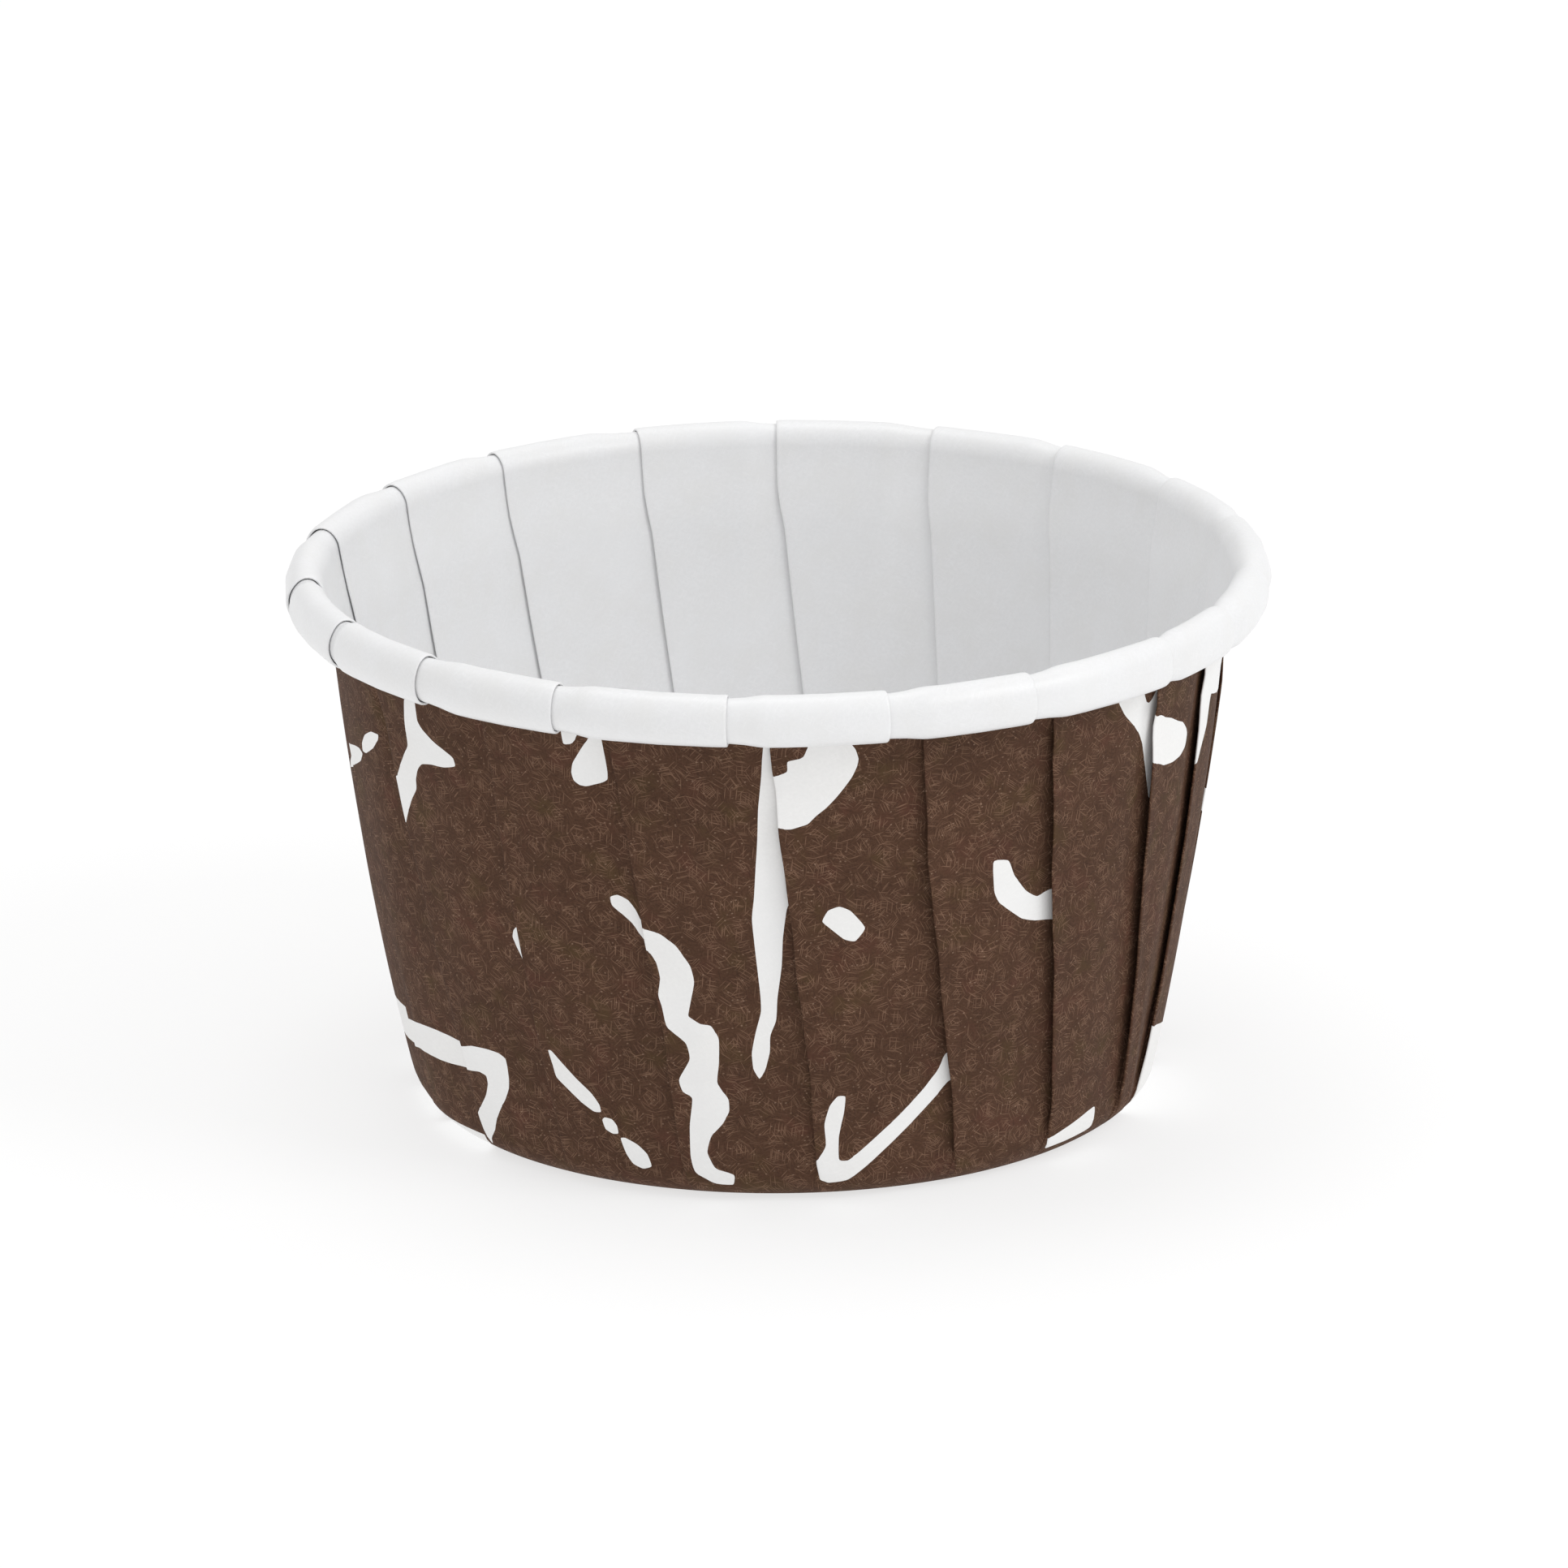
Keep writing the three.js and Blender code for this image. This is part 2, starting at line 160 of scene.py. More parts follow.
start = roll_point(ROLL_START)
t0 = roll_point(ROLL_START - .5) - start
t0 /= np.linalg.norm(t0)
L = np.linalg.norm(start - top) / 3
for i in range(1, 5):
    p, t = bezier(top, top + d1 * L, start - t0 * L, start, i / 4)
    rows.append((p[0], p[1], t[0], t[1], "flare"))
NROLL = 30
for i in range(1, NROLL + 1):
    a = ROLL_START + (ROLL_END - ROLL_START) * i / NROLL
    p = roll_point(a)
    t = roll_point(a - .5) - roll_point(a + .5)
    t /= np.linalg.norm(t)
    rows.append((p[0], p[1], t[0], t[1], "roll"))
R = np.array([r[0] for r in rows]); Z = np.array([r[1] for r in rows])
NR, NZ = np.array([r[3] for r in rows]), np.array([-r[2] for r in rows])
ZONE = [r[4] for r in rows]
S = np.concatenate([[0], np.cumsum(np.hypot(np.diff(R), np.diff(Z)))]) + R[0]
M = len(rows)
FIRST_WALL = ZONE.index("corner")
LAST_WALL = max(i for i, z in enumerate(ZONE) if z == "flare")
IN_ROLL = np.array([z == "roll" for z in ZONE])

# ---- cross-section of one row: a periodic uniform cubic B-spline ----
U = np.array([0, .33, .66, 1, 1.4, 2, 2.6, 3.2, 3.8, 4.5, 5.2, 5.9, 6.6, 7.3, 8, 8.6, 9.2, 10, 11, 11.6, 12, 12.33, 12.66, 13, 13.4, 14.2, 15.2, 16.2])
NU = len(U)


FLAT_R = 21.6   # inside this radius the sheet is flat, and its points only converge


def wob(k, x, f, ph):
    return math.sin(f * x + 1.7 * k + ph) + 0.5 * math.sin(2.3 * f * x + 2.9 * k + ph)


def fold_angles(k, j):
    top_, base, seam = PLEATS[k][:3]
    x = (Z[j] - 1.5) / 33.0
    if IN_ROLL[j] or ZONE[j] == "flare":
        x = max(x, 0.86 + 0.14 * smooth(Z[j], 29, 33)) if not IN_ROLL[j] else 1.0
    x = min(max(x, 0.0), 1.0)
    run = x + 0.035 * math.sin(2 * math.pi * (x - .5))
    a = base + (top_ - base) * run + PLEATS[k][5] * math.sin(math.pi * x)
    b = base + (seam - base) * run * (1.0 if IN_ROLL[j] else 0.97 + 0.03 * float(smooth(Z[j], 28, 33)))
    mm = 180 / math.pi / max(R[j], FLAT_R)
    live = 0.0 if IN_ROLL[j] else float(smooth(Z[j], 1, 6) * (1 - smooth(Z[j], 28, 32)))
    a += 0.05 * wob(k, Z[j], .55, 0.3) * mm * live
    # the sheet is hardly folded over at the foot and lies open in the base
    less = 0.30 * (1 - float(smooth(Z[j], 0.2, 3.2))) * mm
    return a + less, b - less


def controls(j):
    """17 control points of each pleat at row j: (angle, off the middle in mm)."""
    mm = 180 / math.pi / max(R[j], FLAT_R)
    zone = ZONE[j]
    d = float(smooth(Z[j], 0.15, 2.6)) if zone in ("base", "corner") or Z[j] < 3 else 1.0
    if zone == "base":
        d = 0.0
    g = (GAP if zone != "roll" else GAP_ROLL) * d
    if zone == "flare":
        g = GAP + (GAP_ROLL - GAP) * float(smooth(Z[j], 31, 33.5))
    out = []
    lines = [fold_angles(k, j) for k in range(NP)]
    for k in range(NP):
        a, b = lines[k]
        a2, b2 = lines[(k + 1) % NP]
        if k == NP - 1:
            a2 += 360; b2 += 360
        L2 = (b2 - a2) / mm
        w = min(0.35, max(0.12, 0.3 * L2))
        e = min(a2, b2 - 2 * w * mm)
        lf, lt = PLEATS[k][3], PLEATS[k][4]
        h = Z[j] / 33.0
        lift = (lf + (lt - lf) * h) * d
        rim = 1.0
        if zone == "roll":
            rim = 0.0
        elif zone == "flare":
            rim = 1 - float(smooth(Z[j], 30, 33.4))
        else:
            rim = 1 - 0.5 * float(smooth(Z[j], 27, 30))
        lift *= rim * float(smooth(Z[j], 0.5, 5))
        # a soft dip of the panel before the next fold, and a slight crown
        dip = (0.10 + 0.05 * math.sin(2.1 * k)) * rim * float(smooth(Z[j], 1, 7))
        crown = (0.06 + 0.04 * math.sin(1.3 * k + 2)) * rim * float(smooth(Z[j], 2, 10)) * (0.6 + 0.4 * math.sin(.16 * Z[j] + k))
        q0 = a + 1.2 * mm
        span = e - b
        c5 = max(b + 0.12 * span, q0 + 0.2 * (e - q0))
        c4 = (q0 + c5) / 2
        at = lambda f: c5 + (e - c5) * f
        off = lambda x: (x - a) / mm
        fall = lambda x: lift * math.exp(-max(x, 0) / 1.7)
        ripple = lambda q: 0.03 * rim * (1 + wob(k + q, Z[j], .33, q) / 1.5) * d
        out += [
            (a, fall(0)),
            (a, g + fall(0)),
            (a + 0.35 * mm, g + fall(.35)),
            (a + 1.2 * mm, g + fall(1.2)),
            (c4, g + fall(off(c4)) + crown + ripple(1)),
            (c5, g + fall(off(c5)) + crown * .7 + ripple(2)),
            (at(.40), 0.25 * g + fall(off(at(.40))) * .5 + crown * .3 - dip * .3),
            (at(.68), -g * .7 - dip * .8),
            (at(.88), -g - dip),
            (e, -g - dip * .7),
            ((e + b2 - w * mm) / 2, -g - dip * .4),
            (b2 - w * mm, -g - dip * .1),
            (b2, -g),
            (b2, 0),
        ]
        L3 = (b2 - a2) / mm
        lf, lt = PLEATS[(k + 1) % NP][3], PLEATS[(k + 1) % NP][4]
        lift2 = (lf + (lt - lf) * h) * d * rim * float(smooth(Z[j], 0.5, 5))
        for f in (.08, .5, .92):
            x = max(0.0, L3 * (1 - f))
            out.append((b2 + (a2 - b2) * f, lift2 * math.exp(-x / 1.7) * (1 - .2 * (1 - f))))
    return np.array(out)


def bspline(ctrl, uu, k):
    """Points and derivatives of the closed spline at parameters uu of pleat k."""
    n = len(ctrl)
    t = uu + 17 * k
    i = np.floor(t).astype(int)
    f = (t - i)[:, None]
    def c(m):
        idx = i + m
        return ctrl[idx % n] + np.stack([360.0 * (idx // n), 0 * idx], 1)
    b0, b1, b2, b3 = (1 - f)**3 / 6, (3 * f**3 - 6 * f**2 + 4) / 6, (-3 * f**3 + 3 * f**2 + 3 * f + 1) / 6, f**3 / 6
    e0, e1, e2, e3 = -(1 - f)**2 / 2, (9 * f**2 - 12 * f) / 6, (-9 * f**2 + 6 * f + 3) / 6, f**2 / 2
    p = b0 * c(-1) + b1 * c(0) + b2 * c(1) + b3 * c(2)
    q = e0 * c(-1) + e1 * c(0) + e2 * c(1) + e3 * c(2)
    return p, q


TH = np.zeros((M, NP, NU + 1)); RHO = np.zeros((M, NP, NU + 1))
TX = np.zeros((M, NP, NU + 1)); TY = np.zeros((M, NP, NU + 1)); ARC = np.zeros((M, NP, NU + 1))
UU = np.append(U, 17.0)
for j in range(M):
    ctrl = controls(j)
    for k in range(NP):
        p, q = bspline(ctrl, UU, k)
        TH[j, k], RHO[j, k] = p[:, 0], p[:, 1]
        dx, dy = q[:, 0] * math.pi / 180 * R[j], q[:, 1]
        n = np.hypot(dx, dy)
        TX[j, k], TY[j, k] = dx / n, dy / n
        seg = np.hypot(np.diff(p[:, 0]) * math.pi / 180 * R[j], np.diff(p[:, 1]))
        ARC[j, k] = np.concatenate([[0], np.cumsum(seg)])

# slow unevenness of the whole wall, as a real paper cup has
def warp(th, z):
    t = np.radians(th)
    w = 0.05 * np.sin(2 * t + .7) + 0.04 * np.sin(3 * t + 2.1 + .05 * z) + 0.03 * np.sin(5 * t - .08 * z + 1.0)
    # the roll is pressed a little unevenly, pleat by pleat
    e = 0.028 * np.sin(23 * t + 1.5 * z) + 0.024 * np.sin(37 * t - 2.2 * z + 1.3) + 0.016 * np.sin(61 * t + 3.1 * z)
    return w * smooth(z, 2, 14) + e * smooth(z, 33.3, 34.6)


def place(side):
    """Positions and normals (mm) of the face at +-PAPER/2: side +1 printed, -1 plain."""
    h = side * PAPER / 2
    th = TH + h * TY * -1 * 180 / math.pi / R[:, None, None] * -1 * -1
    rho = RHO + h * TX
    # the 2D normal, outward for the printed face, is (-ty, tx) in (along, off)
    th = TH - h * TY * 180 / math.pi / R[:, None, None]
    r = R[:, None, None] + rho * NR[:, None, None] + warp(TH, Z[:, None, None])
    z = Z[:, None, None] + rho * NZ[:, None, None]
    t = np.radians(th)
    pos = np.stack([r * np.cos(t), r * np.sin(t), z], -1)
    # normal: along part turns with the circle, off part follows the profile
    er = np.stack([np.cos(t), np.sin(t), 0 * t], -1)
    et = np.stack([-np.sin(t), np.cos(t), 0 * t], -1)
    ez = np.array([0, 0, 1.0])
    off = er * NR[:, None, None, None] + ez * NZ[:, None, None, None]
    nor = side * (off * TX[..., None] - et * TY[..., None])
    return pos, nor / np.linalg.norm(nor, axis=-1, keepdims=True)


POS = {1: None, -1: None}; NOR = {}
for s in (1, -1):
    POS[s], NOR[s] = place(s)

# ---- the mesh ----
verts, norms, faces, mats, uvs = [], [], [], [], []
BROWN, BARE, WHITE = 0, 1, 2
vid = {}
for s in (1, -1):
    P, N = POS[s], NOR[s]
    base = len(verts)
    flat = P[:, :, :NU].reshape(-1, 3)
    verts += flat.tolist(); norms += N[:, :, :NU].reshape(-1, 3).tolist()
    vid[s] = base + np.arange(M * NP * NU).reshape(M, NP, NU)


def grid(s, j, k, c):
    if c == NU:
        k, c = (k + 1) % NP, 0
    return int(vid[s][j, k, c])


def uv(j, k, c):
    return (k * 20.0 + ARC[j, k, c], S[j])


def uv_base(v):
    return (verts[v][0] + 400.0, verts[v][1] + 400.0)


def add(vs, mat, us):
    faces.append(vs); mats.append(mat); uvs.append(us)


# outlines to densified, smoothed index-space polygons of each panel
def rounded(pts, step):
    """The outline with its corners cut back twice, then split into short steps."""
    pts = np.array(pts, float)
    for cut in (.13, .25):
        nxt = np.roll(pts, -1, 0)
        pts = np.stack([pts + (nxt - pts) * cut, pts + (nxt - pts) * (1 - cut)], 1).reshape(-1, 2)
    out = []
    for i in range(len(pts)):
        p, q = pts[i], pts[(i + 1) % len(pts)]
        m = max(1, int(np.hypot((q[0] - p[0]) * .5, q[1] - p[1]) / step))
        out += [p + (q - p) * t for t in np.arange(m) / m]
    return np.array(out)


CMAX = 18
J0, J1 = FIRST_WALL, LAST_WALL + 1
zj = Z[J0:J1 + 1]


def to_index(k, poly):
    out = []
    for th, z in poly:
        jf = float(np.clip(np.interp(z, zj, np.arange(J0, J1 + 1)), J0 + .03, J1 - .03))
        j = int(jf); f = jf - j
        row = TH[j, k, :CMAX + 1] * (1 - f) + TH[j + 1, k, :CMAX + 1] * f
        row = np.maximum.accumulate(row + np.arange(CMAX + 1) * 1e-7)
        while th < row[0] - 180: th += 360
        while th > row[0] + 180: th -= 360
        cf = float(np.clip(np.interp(th, row, np.arange(CMAX + 1)), .03, CMAX - .03))
        out.append((cf, jf))
    clean = [out[0]]
    for p in out[1:]:
        if math.hypot(p[0] - clean[-1][0], p[1] - clean[-1][1]) > 1e-3:
            clean.append(p)
    while len(clean) > 3 and math.hypot(clean[0][0] - clean[-1][0], clean[0][1] - clean[-1][1]) < 1e-3:
        clean.pop()
    return clean


shapes = {k: [] for k in range(NP)}
for k, kind, pts in PRINT:
    shapes[k].append((kind, to_index(k, rounded(pts, .35))))
for k, src in REPEAT:
    at, size = PLEATS[src][0], PLEATS[src + 1][0] - PLEATS[src][0]
    to, wide = PLEATS[k][0], (PLEATS[k + 1][0] if k + 1 < NP else PLEATS[0][0] + 360) - PLEATS[k][0]
    for panel, kind, pts in PRINT:
        if panel == src:
            pts = [(to + (th - at) / size * wide, z) for th, z in pts]
            shapes[k].append((kind, to_index(k, rounded(pts, .35))))


def inside(poly, x, y):
    p = np.array(poly); q = np.roll(p, -1, 0)
    c = (p[:, 1] > y) != (q[:, 1] > y)
    with np.errstate(divide="ignore", invalid="ignore"):
        xi = (q[:, 0] - p[:, 0]) * (y - p[:, 1]) / (q[:, 1] - p[:, 1]) + p[:, 0]
    return bool(np.count_nonzero(c & (x < xi)) % 2)


def patch(k):
    """The printed face of panel k, cut along the outlines."""
    C, H = CMAX + 1, J1 - J0 + 1
    pts = [(float(c), float(J0 + j)) for j in range(H) for c in range(C)]
    edges = [(j * C + c, j * C + c + 1) for j in range(H) for c in range(C - 1)]
    edges += [(j * C + c, (j + 1) * C + c) for j in range(H - 1) for c in range(C)]
    for kind, poly in shapes[k]:
        b = len(pts)
        pts += poly
        edges += [(b + i, b + (i + 1) % len(poly)) for i in range(len(poly))]
    vo, eo, fo, ov, oe, of = delaunay_2d_cdt([Vector(p) for p in pts], edges, [], 0, 1e-5)
    ids, coords = [], []
    for v, src in zip(vo, ov):
        x, y = v.x, v.y
        coords.append((x, y))
        g = [i for i in src if i < C * H]
        if g:
            ids.append(int(vid[1][J0 + g[0] // C, k, g[0] % C]))
            continue
        c, j = min(int(x), C - 2), min(int(y), J1 - 1)
        fx, fy = x - c, y - j
        w = ((j, c, (1 - fx) * (1 - fy)), (j, c + 1, fx * (1 - fy)), (j + 1, c, (1 - fx) * fy), (j + 1, c + 1, fx * fy))
        verts.append(sum(POS[1][a, k, b] * q for a, b, q in w).tolist())
        n = sum(NOR[1][a, k, b] * q for a, b, q in w)
        norms.append((n / np.linalg.norm(n)).tolist())
        ids.append(len(verts) - 1)
    for f in fo:
        xy = [coords[i] for i in f]
        area = sum(xy[i][0] * xy[(i + 1) % len(xy)][1] - xy[(i + 1) % len(xy)][0] * xy[i][1] for i in range(len(xy)))
        if abs(area) < 1e-9 or len({ids[i] for i in f}) < len(f):
            continue
        x, y = sum(p[0] for p in xy) / len(xy), sum(p[1] for p in xy) / len(xy)
        mat = BROWN
        for kind, poly in shapes[k]:
            if inside(poly, x, y):
                mat = BARE if kind else BROWN
        us = []
        for px, py in xy:
            c, j = min(int(px), C - 2), min(int(py), J1 - 1)
            fx, fy = px - c, py - j
            arc = (ARC[j, k, c] * (1 - fx) + ARC[j, k, c + 1] * fx) * (1 - fy) + (ARC[j + 1, k, c] * (1 - fx) + ARC[j + 1, k, c + 1] * fx) * fy
            us.append((k * 20.0 + arc, S[j] * (1 - fy) + S[j + 1] * fy))
        order = list(f) if area > 0 else list(f)[::-1]
        if area < 0:
            us = us[::-1]
        add([ids[i] for i in order], mat, us)


for k in range(NP):
    if shapes[k]:
        patch(k)
    for j in range(M - 1):
        for c in range(NU):
            if shapes[k] and J0 <= j < J1 and c < CMAX:
                continue
            us = [uv(j, k, c), uv(j, k, c + 1), uv(j + 1, k, c + 1), uv(j + 1, k, c)]
            vs = [grid(1, j, k, c), grid(1, j, k, c + 1), grid(1, j + 1, k, c + 1), grid(1, j + 1, k, c)]
            if ZONE[j] == "base":
                us = [uv_base(v) for v in vs]
            add(vs, BROWN, us)
    for j in range(M - 1):
        for c in range(NU):
            vs = [grid(-1, j, k, c), grid(-1, j + 1, k, c), grid(-1, j + 1, k, c + 1), grid(-1, j, k, c + 1)]
            us = [uv(j, k, c), uv(j + 1, k, c), uv(j + 1, k, c + 1), uv(j, k, c + 1)]
            if ZONE[j] == "base":
                us = [uv_base(v) for v in vs]
            add(vs, WHITE, us)
    for c in range(NU):   # the cut edge inside the roll, and the middle of the base
        j = M - 1
        add([grid(1, j, k, c), grid(1, j, k, c + 1), grid(-1, j, k, c + 1), grid(-1, j, k, c)], WHITE, [uv(j, k, c), uv(j, k, c + 1), uv(j, k, c + 1), uv(j, k, c)])
n0 = len(verts)
verts += [[0, 0, Z0 - PAPER / 2], [0, 0, Z0 + PAPER / 2]]
norms += [[0, 0, -1], [0, 0, 1]]
for k in range(NP):
    for c in range(NU):
        a, b = grid(1, 0, k, c), grid(1, 0, k, c + 1)
        add([n0, b, a], BROWN, [uv_base(n0), uv_base(b), uv_base(a)])
        a, b = grid(-1, 0, k, c), grid(-1, 0, k, c + 1)
        add([n0 + 1, a, b], WHITE, [uv_base(n0 + 1), uv_base(a), uv_base(b)])

V = np.array(verts)
# the paper stays on the table: nothing goes below z = 0, the bottom of the part's box
V[:, 2] = np.clip(V[:, 2], 0.0, None)
mesh = bpy.data.meshes.new("pleated_sheet")
mesh.from_pydata((V * MM).tolist(), [], faces)
cup = bpy.data.objects.new("pleated_sheet", mesh)
bpy.context.scene.collection.objects.link(cup)
mesh.polygons.foreach_set("material_index", mats)
mesh.polygons.foreach_set("use_smooth", [True] * len(faces))
layer = mesh.uv_layers.new(name="sheet")
layer.data.foreach_set("uv", np.array([x * 0.01 for us in uvs for p in us for x in p], np.float32))
mesh.normals_split_custom_set_from_vertices([tuple(n) for n in norms])
mesh.update()
print("sheet: %d vertices, %d faces, %d triangles, box %s %s" % (len(V), len(faces), sum(len(f) - 2 for f in faces), V.min(0).round(3), V.max(0).round(3)))


# ---- materials ----
class Nodes:
    def __init__(self, name):
        self.mat = bpy.data.materials.new(name)
        self.mat.use_nodes = True
        self.t = self.mat.node_tree
        self.t.nodes.clear()
        self.out = self.t.nodes.new("ShaderNodeOutputMaterial")
        self.bsdf = self.t.nodes.new("ShaderNodeBsdfPrincipled")
        self.t.links.new(self.bsdf.outputs[0], self.out.inputs[0])
        self.uv = self.t.nodes.new("ShaderNodeUVMap")
        self.uv.uv_map = "sheet"

    def node(self, kind, **k):
        n = self.t.nodes.new(kind)
        for a, b in k.items():
            setattr(n, a, b)
        return n

    def link(self, a, b):
        self.t.links.new(a, b)

    def mapped(self, scale, rot=0.0, loc=(0, 0, 0), kind="POINT"):
        m = self.node("ShaderNodeMapping", vector_type=kind)
        m.inputs["Scale"].default_value = scale
        m.inputs["Rotation"].default_value = (0, 0, rot)
        m.inputs["Location"].default_value = loc
        self.link(self.uv.outputs[0], m.inputs[0])
        return m.outputs[0]

    def noise(self, vec, scale, detail=3, rough=.5):
        n = self.node("ShaderNodeTexNoise")
        n.inputs["Scale"].default_value = scale
        n.inputs["Detail"].default_value = detail
        n.inputs["Roughness"].default_value = rough
        self.link(vec, n.inputs["Vector"])
        return n.outputs["Fac"]

    def ramp(self, fac, a, b, lo=0.0, hi=1.0):
        n = self.node("ShaderNodeMapRange", interpolation_type="SMOOTHSTEP")
        n.inputs["From Min"].default_value = a
        n.inputs["From Max"].default_value = b
        n.inputs["To Min"].default_value = lo
        n.inputs["To Max"].default_value = hi
        self.link(fac, n.inputs["Value"])
        return n.outputs["Result"]

    def math(self, op, a, b=None):
        n = self.node("ShaderNodeMath", operation=op)
        for i, x in enumerate((a, b)):
            if x is None:
                continue
            if isinstance(x, (int, float)):
                n.inputs[i].default_value = x
            else:
                self.link(x, n.inputs[i])
        return n.outputs[0]

    def mix(self, fac, a, b, mode="MIX"):
        n = self.node("ShaderNodeMix", data_type="RGBA", blend_type=mode)
        for sock, x in ((0, fac), (6, a), (7, b)):
            if isinstance(x, (int, float)):
                n.inputs[sock].default_value = x
            elif isinstance(x, tuple):
                n.inputs[sock].default_value = (*x, 1)
            else:
                self.link(x, n.inputs[sock])
        return n.outputs[2]


# the UV map holds centimetres/10 of sheet: one unit is 100 mm
def fibres(m, angle, length, width, seed, share):
    """Short straight fibres of that length and width in mm, in a share of the cells of a stretched grid."""
    vec = m.mapped((2 * length / 100, 2 * width / 100, 1), angle, (seed, seed * 1.7, 0), "TEXTURE")
    v = m.node("ShaderNodeTexVoronoi", voronoi_dimensions="2D", feature="F1")
    v.inputs["Scale"].default_value = 1.0
    v.inputs["Randomness"].default_value = 1.0
    m.link(vec, v.inputs["Vector"])
    near = m.ramp(v.outputs["Distance"], .18, .25, 1.0, 0.0)
    sep = m.node("ShaderNodeSeparateColor")
    m.link(v.outputs["Color"], sep.inputs[0])
    pick = m.ramp(sep.outputs[0], 1 - share, 1.02)
    return m.math("MULTIPLY", near, pick)


def strokes(m, rows):
    out = None
    for row in rows:
        f = fibres(m, *row)
        out = f if out is None else m.math("MAXIMUM", out, f)
    return out


def printed():
    m = Nodes("printed_paper")
    plain = m.mapped((1, 1, 1))
    light = strokes(m, [(.25, 1.05, .05, 3.1, .36), (.75, .85, .045, 6.3, .34), (1.35, 1.0, .05, 9.2, .34), (1.95, .9, .045, 12.7, .36), (2.45, 1.05, .045, 15.1, .34), (2.95, .8, .05, 18.4, .34)])
    dark = strokes(m, [(.5, .8, .06, 21.3, .45), (1.6, .9, .06, 24.9, .45), (2.7, .7, .06, 28.2, .45)])
    specks = fibres(m, .3, .16, .11, 33.0, .16)
    fine = m.noise(plain, 640, 4, .62)
    mid = m.noise(plain, 150, 3, .55)
    broad = m.noise(plain, 16, 2, .5)
    hue = m.noise(m.mapped((1, 1, 1), 0, (5, 3, 0)), 30, 3, .55)
    base = m.mix(m.ramp(fine, .30, .70), (.060, .0280, .0158), (.094, .0452, .0264))
    base = m.mix(m.ramp(mid, .35, .65, 0, .4), base, (.077, .038, .0205))
    base = m.mix(m.ramp(hue, .53, .72, 0, .55), base, (.081, .049, .0190))
    base = m.mix(m.ramp(hue, .47, .28, 0, .5), base, (.099, .037, .0245))
    base = m.mix(m.math("MULTIPLY", dark, .65), base, (.044, .020, .012))
    base = m.mix(m.math("MULTIPLY", light, .9), base, (.215, .122, .078))
    base = m.mix(m.math("MULTIPLY", specks, .55), base, (.330, .215, .150))
    bright = m.ramp(broad, .3, .7, .93, 1.06)
    n = m.node("ShaderNodeMix", data_type="RGBA", blend_type="MULTIPLY")
    n.inputs[0].default_value = 1.0
    m.link(base, n.inputs[6])
    comb = m.node("ShaderNodeCombineColor")
    for i in range(3):
        m.link(bright, comb.inputs[i])
    m.link(comb.outputs[0], n.inputs[7])
    m.link(n.outputs[2], m.bsdf.inputs["Base Color"])
    m.bsdf.inputs["Roughness"].default_value = 0.78
    m.bsdf.inputs["Specular IOR Level"].default_value = 0.16
    bump = m.node("ShaderNodeBump")
    bump.inputs["Strength"].default_value = 0.4
    bump.inputs["Distance"].default_value = 0.00003
    h = m.math("ADD", m.math("MULTIPLY", light, .7), fine)
    m.link(h, bump.inputs["Height"])
    m.link(bump.outputs[0], m.bsdf.inputs["Normal"])
    return m.mat


def white(name, albedo, tint, rough):
    m = Nodes(name)
    plain = m.mapped((1, 1, 1))
    fine = m.noise(plain, 420, 4, .6)
    broad = m.noise(plain, 34, 3, .55)
    cloud = m.noise(m.mapped((1, 1, 1), 0, (2, 7, 0)), 12, 2, .5)
    fib = strokes(m, [(.4, .8, .08, 2.2, .6), (1.9, .7, .08, 7.7, .6)])
    a = tuple(x * albedo for x in tint)
    b = tuple(x * (albedo - .035) for x in tint)
    base = m.mix(m.ramp(fine, .3, .7), b, a)
    base = m.mix(m.ramp(broad, .38, .66, 0, .45), base, tuple(x * (albedo - .05) for x in (1.0, .995, .985)))
    base = m.mix(m.ramp(cloud, .4, .7, 0, .35), base, tuple(x * (albedo + .02) for x in (.985, .99, 1.0)))
    base = m.mix(m.math("MULTIPLY", fib, .3), base, tuple(min(1.0, x * (albedo + .05)) for x in tint))
    m.link(base, m.bsdf.inputs["Base Color"])
    m.bsdf.inputs["Roughness"].default_value = rough
    m.bsdf.inputs["Specular IOR Level"].default_value = 0.4
    bump = m.node("ShaderNodeBump")
    bump.inputs["Strength"].default_value = 0.3
    bump.inputs["Distance"].default_value = 0.00004
    m.link(m.math("ADD", m.math("MULTIPLY", broad, 3.2), m.math("MULTIPLY", fine, .5)), bump.inputs["Height"])
    m.link(bump.outputs[0], m.bsdf.inputs["Normal"])
    return m.mat


mesh.materials.append(printed())
mesh.materials.append(white("bare_paper", .90, (1.0, .993, .98), .55))
mesh.materials.append(white("plain_paper", .875, (.99, .992, 1.0), .38))
mesh.polygons.foreach_set("material_index", mats)
mesh.update()

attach(cup, "root")
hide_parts("pleated_paper_cup")

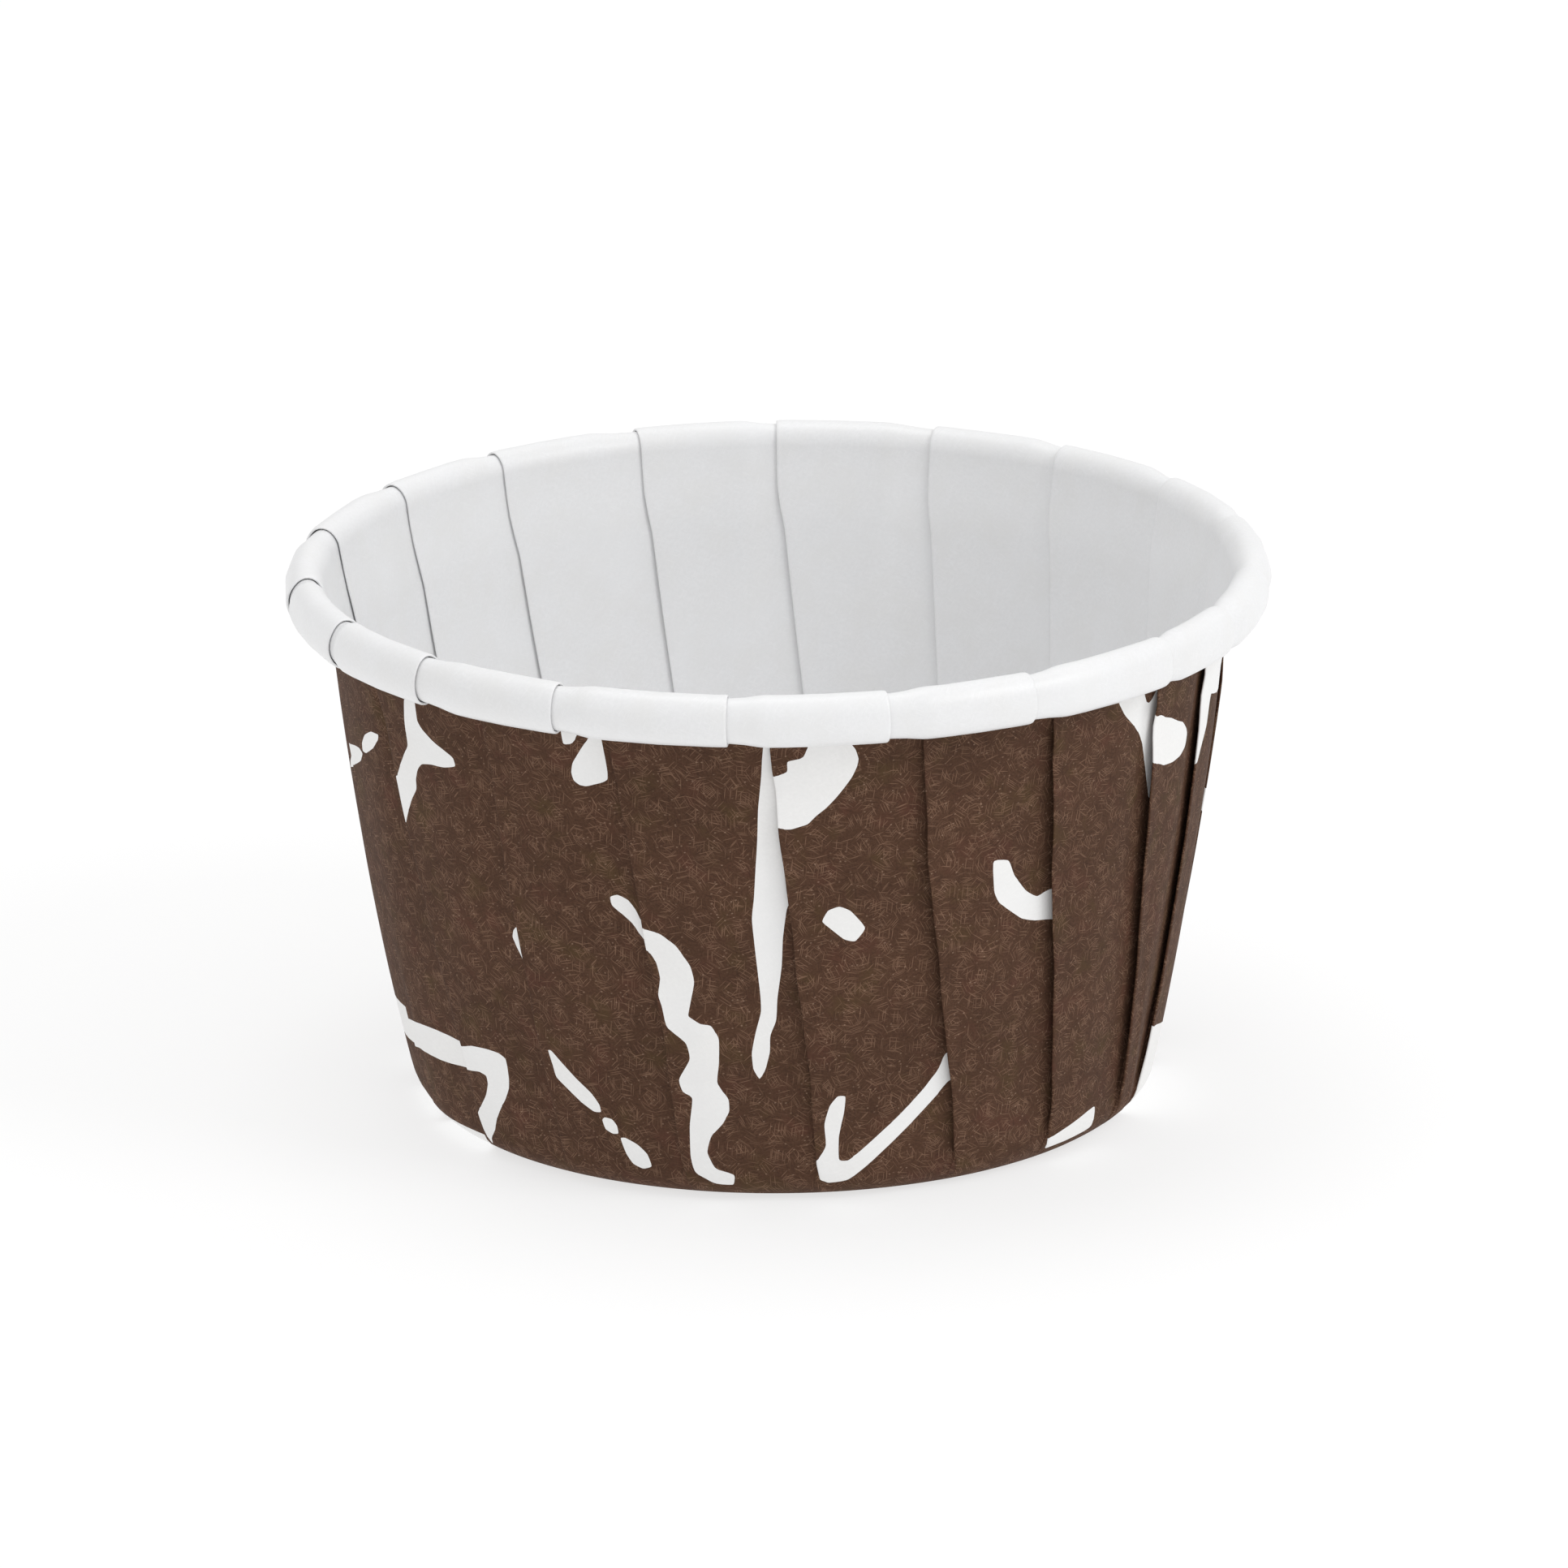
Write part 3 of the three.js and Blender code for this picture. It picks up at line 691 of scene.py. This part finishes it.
# ---- table, light and camera ----
bpy.ops.mesh.primitive_plane_add(size=6.0, location=(0, 0, 0))
floor = bpy.context.object
floor.name = "table"
fm = bpy.data.materials.new("pale_table")
fm.use_nodes = True
fb = fm.node_tree.nodes["Principled BSDF"]
fb.inputs["Base Color"].default_value = (.32, .32, .32, 1)
fb.inputs["Roughness"].default_value = 0.9
fb.inputs["Specular IOR Level"].default_value = 0.1
fb.inputs["Emission Color"].default_value = (1, 1, 1, 1)
fb.inputs["Emission Strength"].default_value = 0.69
floor.data.materials.append(fm)

world = bpy.data.worlds.new("studio")
bpy.context.scene.world = world
world.use_nodes = True
bg = world.node_tree.nodes["Background"]
bg.inputs[0].default_value = (1.0, 1.0, 1.0, 1)
bg.inputs[1].default_value = 0.72


def area(name, loc, target, size, power, colour=(1, 1, 1)):
    d = bpy.data.lights.new(name, "AREA")
    d.shape = "DISK"; d.size = size; d.energy = power; d.color = colour
    o = bpy.data.objects.new(name, d)
    bpy.context.scene.collection.objects.link(o)
    o.location = loc
    o.rotation_mode = "QUATERNION"
    o.rotation_quaternion = (Vector(target) - Vector(loc)).to_track_quat("-Z", "Y")
    return o


area("soft_right", (.55, -.30, .55), (0, 0, .015), .35, 1.6)
area("soft_top", (-.10, .10, .85), (0, 0, .02), .5, 1.6)

E, YAW, TZ, ROLL, DIST = 0.3126, 0.0002, 20.7537, -0.0121, 863.425
C = Vector((0, -DIST * math.cos(E), DIST * math.sin(E) + TZ)) * MM
fwd = Vector((math.sin(YAW) * math.cos(E), math.cos(YAW) * math.cos(E), -math.sin(E)))
right = fwd.cross(Vector((0, 0, 1))).normalized()
up = right.cross(fwd)
r2 = right * math.cos(ROLL) + up * math.sin(ROLL)
u2 = -right * math.sin(ROLL) + up * math.cos(ROLL)
cam = bpy.data.objects.new("camera", bpy.data.cameras.new("camera"))
bpy.context.scene.collection.objects.link(cam)
cam.matrix_world = Matrix(((r2.x, u2.x, -fwd.x, C.x), (r2.y, u2.y, -fwd.y, C.y), (r2.z, u2.z, -fwd.z, C.z), (0, 0, 0, 1)))
cam.data.lens = 298.137
cam.data.sensor_width = 36
cam.data.clip_start, cam.data.clip_end = 0.05, 20
bpy.context.scene.camera = cam
sc = bpy.context.scene
sc.view_settings.view_transform = "Standard"
sc.view_settings.look = "None"
sc.view_settings.exposure = 0
sc.cycles.max_bounces = 8
